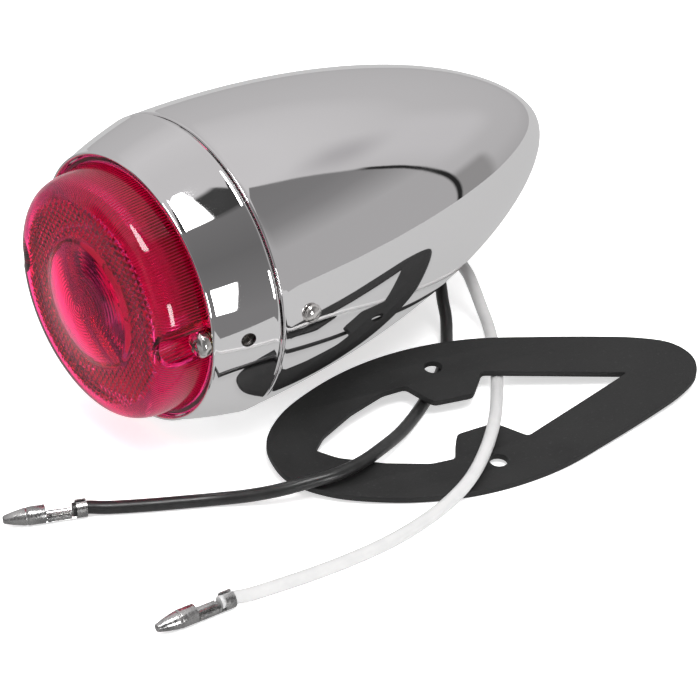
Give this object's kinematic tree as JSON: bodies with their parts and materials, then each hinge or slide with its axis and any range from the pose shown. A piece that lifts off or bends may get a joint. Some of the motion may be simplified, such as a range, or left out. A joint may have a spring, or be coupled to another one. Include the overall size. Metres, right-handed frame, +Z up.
{
  "type": "tail light",
  "caption": "Bullet-shaped chrome tail light with a red reflex lens, bayonet bulb, sloping underside, loose rubber gasket and two wires with bullet connectors.",
  "frame": {"origin": "centre of the bounding box of everything except the free wires and their connectors, at the floor", "axes": "+X along the lamp from its lens to its tail, +Y to the lamp's left side, +Z up"},
  "size_m": [0.158, 0.1075, 0.0678],
  "materials": {
    "chrome": "mirror plated",
    "zinc_steel": "zinc plated",
    "red_lens": "polished, see-through red",
    "clear_glass": "clear",
    "white_paint": "gloss white",
    "brass": "satin",
    "tinned": "tinned",
    "solder": "dull",
    "insulation": "matt",
    "tungsten": "dull",
    "black_rubber": "matt",
    "black_vinyl": "satin",
    "white_vinyl": "satin"
  },
  "bodies": {
    "lamp": {"housing": "chrome", "bezel": "chrome", "lens": "red_lens", "lens_seal": "black_rubber", "bracket": "zinc_steel", "reflector": "white_paint", "bulb_socket": "zinc_steel", "contact_spring": "zinc_steel", "black_lead": "black_vinyl", "white_lead": "white_vinyl", "mounting_bar": "zinc_steel", "wire_grommet": "black_rubber", "black_wire": "black_vinyl", "white_wire": "white_vinyl", "black_connector": "tinned", "white_connector": "tinned", "gasket": "black_rubber", "lens_screw_right": "zinc_steel", "lock_washer_right": "zinc_steel", "flat_washer_right": "zinc_steel", "side_screw_right": "chrome", "side_nut_right": "zinc_steel", "mounting_nut_right": "zinc_steel", "lens_screw_left": "zinc_steel", "lock_washer_left": "zinc_steel", "flat_washer_left": "zinc_steel", "side_screw_left": "chrome", "side_nut_left": "zinc_steel", "mounting_nut_left": "zinc_steel"},
    "contact": {"contact_carrier": "insulation", "contact_button": "brass"},
    "bulb": {"bulb_glass": "clear_glass", "bulb_base": "brass", "bulb_pin_top": "brass", "bulb_pin_bottom": "brass", "bulb_insulator": "insulation", "bulb_contact": "solder", "bulb_filament": "tungsten"}
  },
  "joints": [
    {"name": "bulb_push", "type": "slide", "parent": "lamp", "child": "contact", "axis": [1, 0, 0], "range_m": [0, 0.0016], "stiffness_N_per_m": 1500, "springref_m": -0.002, "deforming": ["contact_spring", "black_lead"]},
    {"name": "bulb_turn", "type": "hinge", "parent": "contact", "child": "bulb", "pos_m": [-0.0269, 0.0188, 0.0339], "axis": [1, 0, 0], "range_deg": [-25, 0]}
  ]
}
